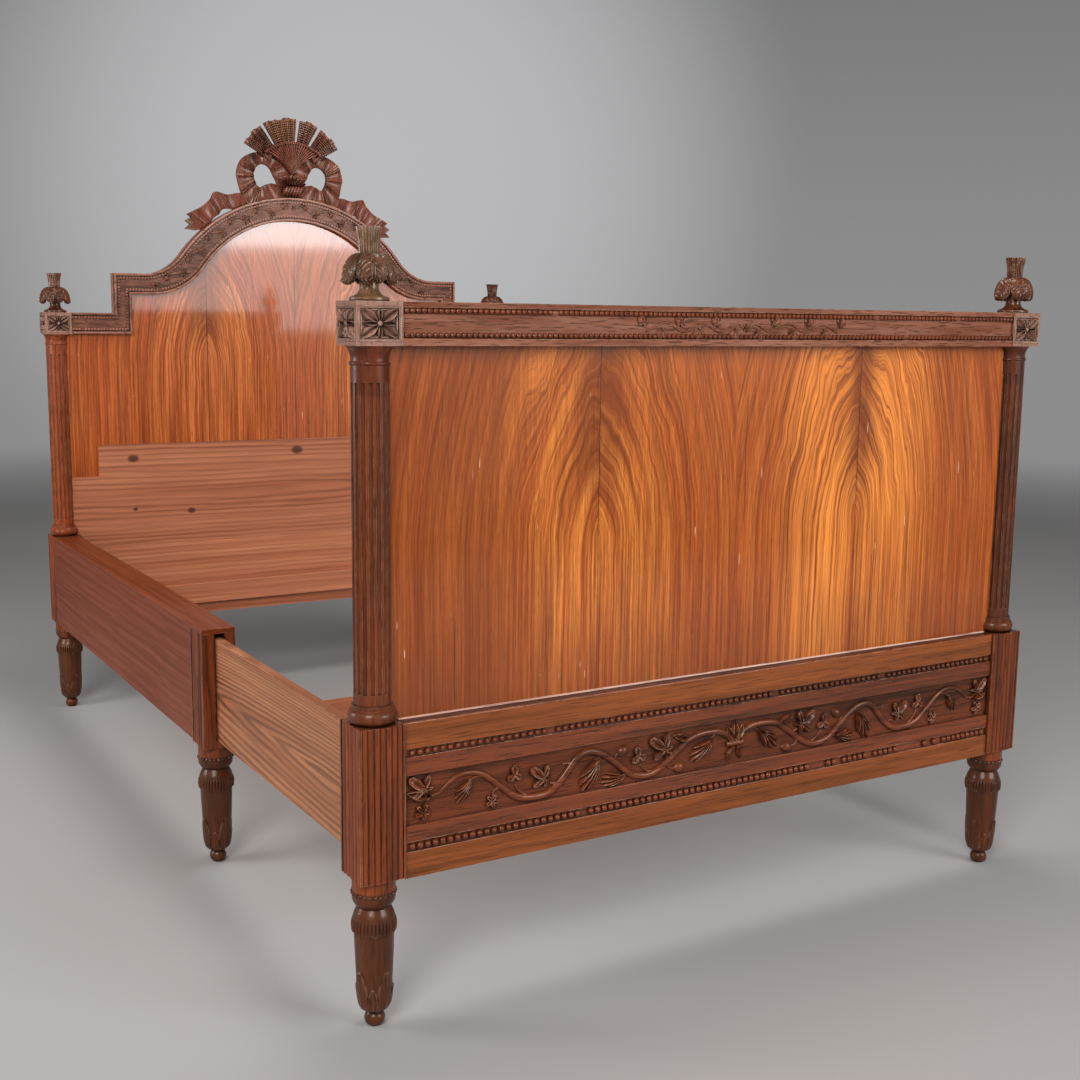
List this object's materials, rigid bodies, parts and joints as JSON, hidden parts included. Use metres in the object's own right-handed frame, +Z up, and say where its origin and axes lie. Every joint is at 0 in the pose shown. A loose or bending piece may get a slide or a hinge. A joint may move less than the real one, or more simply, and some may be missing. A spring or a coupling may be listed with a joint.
{
  "type": "extendable bed",
  "caption": "Extendable wooden bed with turned reeded posts, an arched carved headboard, a panelled footboard and a sliding foot section.",
  "frame": {"origin": "on the floor under the middle of the pulled-out bed", "axes": "+X across the bed, +Y along the bed from foot to head, +Z up"},
  "size_m": [1.35, 2.0319, 1.5644],
  "materials": {
    "dark_turned_wood": "waxed, open grain, worn edges",
    "dark_carved_wood": "waxed carving, satin",
    "veneered_panel": "shellac polish, glossy",
    "reddish_board": "waxed, satin",
    "light_strip": "waxed, satin",
    "pine": "bare, dull"
  },
  "bodies": {
    "head_section": {"box_cap_left": "reddish_board", "box_cap_right": "reddish_board", "box_inner_board_left": "reddish_board", "box_inner_board_right": "reddish_board", "box_outer_board_left": "reddish_board", "box_outer_board_right": "reddish_board", "crest_knot": "dark_carved_wood", "crest_ribbon": "dark_carved_wood", "crest_sheaf": "dark_carved_wood", "head_arch": "dark_carved_wood", "head_batten": "pine", "head_finial_left": "dark_turned_wood", "head_finial_right": "dark_turned_wood", "head_panel_inner_left": "veneered_panel", "head_panel_inner_right": "veneered_panel", "head_panel_middle_left": "veneered_panel", "head_panel_middle_right": "veneered_panel", "head_panel_outer_left": "veneered_panel", "head_panel_outer_right": "veneered_panel", "head_pine_lower": "pine", "head_pine_upper": "pine", "head_post_left": "dark_turned_wood", "head_post_right": "dark_turned_wood", "head_return_left": "dark_carved_wood", "head_return_right": "dark_carved_wood", "mid_cross_rail": "pine", "mid_post_left": "dark_turned_wood", "mid_post_right": "dark_turned_wood"},
    "foot_section": {"foot_finial_left": "dark_turned_wood", "foot_finial_right": "dark_turned_wood", "foot_high_bead": "dark_carved_wood", "foot_high_moulding": "dark_carved_wood", "foot_high_strip": "light_strip", "foot_ledge_bead": "pine", "foot_low_bead": "dark_carved_wood", "foot_low_moulding": "dark_carved_wood", "foot_low_strip": "light_strip", "foot_panel_inner_left": "veneered_panel", "foot_panel_inner_right": "veneered_panel", "foot_panel_outer_left": "veneered_panel", "foot_panel_outer_right": "veneered_panel", "foot_post_left": "dark_turned_wood", "foot_post_right": "dark_turned_wood", "foot_rail_board": "dark_carved_wood", "foot_side_rail_left": "pine", "foot_side_rail_right": "pine", "foot_top_rail": "dark_carved_wood"}
  },
  "joints": [
    {"name": "extension_slide", "type": "slide", "parent": "head_section", "child": "foot_section", "axis": [0, 1, 0], "range_m": [0, 0.65]}
  ]
}
